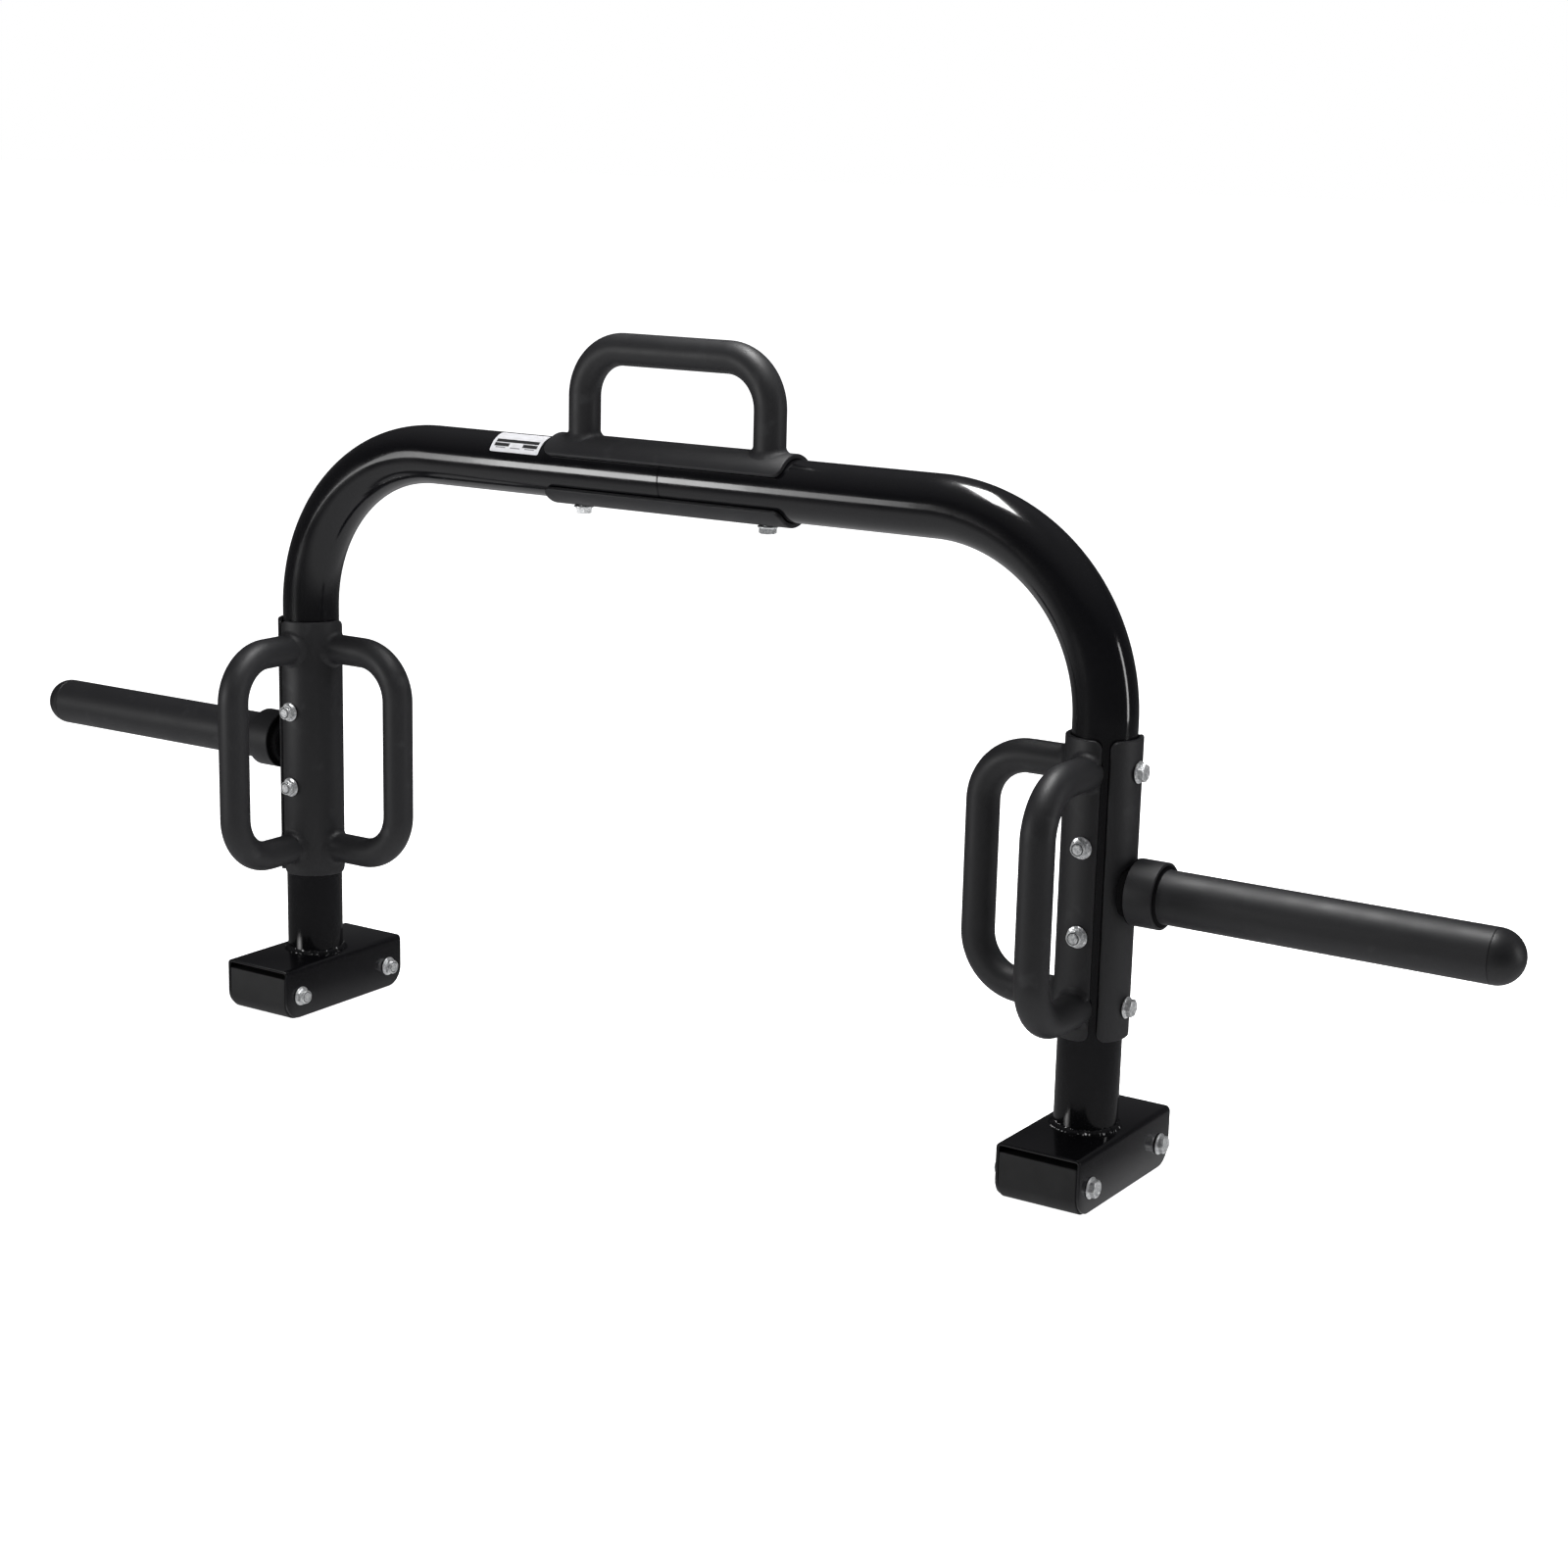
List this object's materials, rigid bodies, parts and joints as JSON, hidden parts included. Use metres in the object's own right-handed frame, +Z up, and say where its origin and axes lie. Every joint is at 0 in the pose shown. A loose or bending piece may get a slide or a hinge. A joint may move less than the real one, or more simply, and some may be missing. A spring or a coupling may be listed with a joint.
{
  "type": "plate-loaded carry arch",
  "caption": "Arch-shaped walk-in carry frame of bent tube, with a top handle, clamped D-handles and weight horns on its legs, and block feet.",
  "frame": {"origin": "on the floor that the feet stand on, under the middle of the whole object's box", "axes": "+X along the arch's width towards the right weight horn, +Y to the rear, away from the front handles, +Z up"},
  "size_m": [1.754, 0.2304, 0.7535],
  "materials": {
    "gloss_enamel": "gloss black paint on steel tube and folded plate, light orange peel",
    "powder_coat": "satin black powder coat on steel",
    "moulded_black": "satin moulded nylon cap",
    "black_rubber": "matte moulded rubber",
    "zinc_plate": "bright zinc plate",
    "bare_steel": "plain drawn steel",
    "label_film": "silver polyester film, no lettering"
  },
  "bodies": {
    "root": {"left_arch_tube": "gloss_enamel", "right_arch_tube": "gloss_enamel", "splice_sleeve": "bare_steel", "top_saddle": "powder_coat", "bottom_saddle": "powder_coat", "carry_handle": "powder_coat", "carry_handle_left_insert": "zinc_plate", "carry_handle_right_insert": "zinc_plate", "left_saddle_bolt": "zinc_plate", "right_saddle_bolt": "zinc_plate", "blank_label": "label_film", "left_handle_shell": "powder_coat", "left_front_handle": "powder_coat", "left_inner_handle": "powder_coat", "left_upper_handle_insert": "zinc_plate", "left_lower_handle_insert": "zinc_plate", "left_horn_shell": "powder_coat", "left_weight_horn": "powder_coat", "left_stop_collar": "powder_coat", "left_horn_cap": "moulded_black", "left_upper_clamp_bolt": "zinc_plate", "left_lower_clamp_bolt": "zinc_plate", "left_upper_cross_bolt": "zinc_plate", "left_lower_cross_bolt": "zinc_plate", "left_upper_cross_nut": "zinc_plate", "left_lower_cross_nut": "zinc_plate", "left_foot_bracket": "gloss_enamel", "left_foot_block": "black_rubber", "left_front_foot_bolt": "zinc_plate", "left_rear_foot_bolt": "zinc_plate", "left_front_foot_nut": "zinc_plate", "left_rear_foot_nut": "zinc_plate", "right_handle_shell": "powder_coat", "right_front_handle": "powder_coat", "right_inner_handle": "powder_coat", "right_upper_handle_insert": "zinc_plate", "right_lower_handle_insert": "zinc_plate", "right_horn_shell": "powder_coat", "right_weight_horn": "powder_coat", "right_stop_collar": "powder_coat", "right_horn_cap": "moulded_black", "right_upper_clamp_bolt": "zinc_plate", "right_lower_clamp_bolt": "zinc_plate", "right_upper_cross_bolt": "zinc_plate", "right_lower_cross_bolt": "zinc_plate", "right_upper_cross_nut": "zinc_plate", "right_lower_cross_nut": "zinc_plate", "right_foot_bracket": "gloss_enamel", "right_foot_block": "black_rubber", "right_front_foot_bolt": "zinc_plate", "right_rear_foot_bolt": "zinc_plate", "right_front_foot_nut": "zinc_plate", "right_rear_foot_nut": "zinc_plate"}
  },
  "joints": []
}
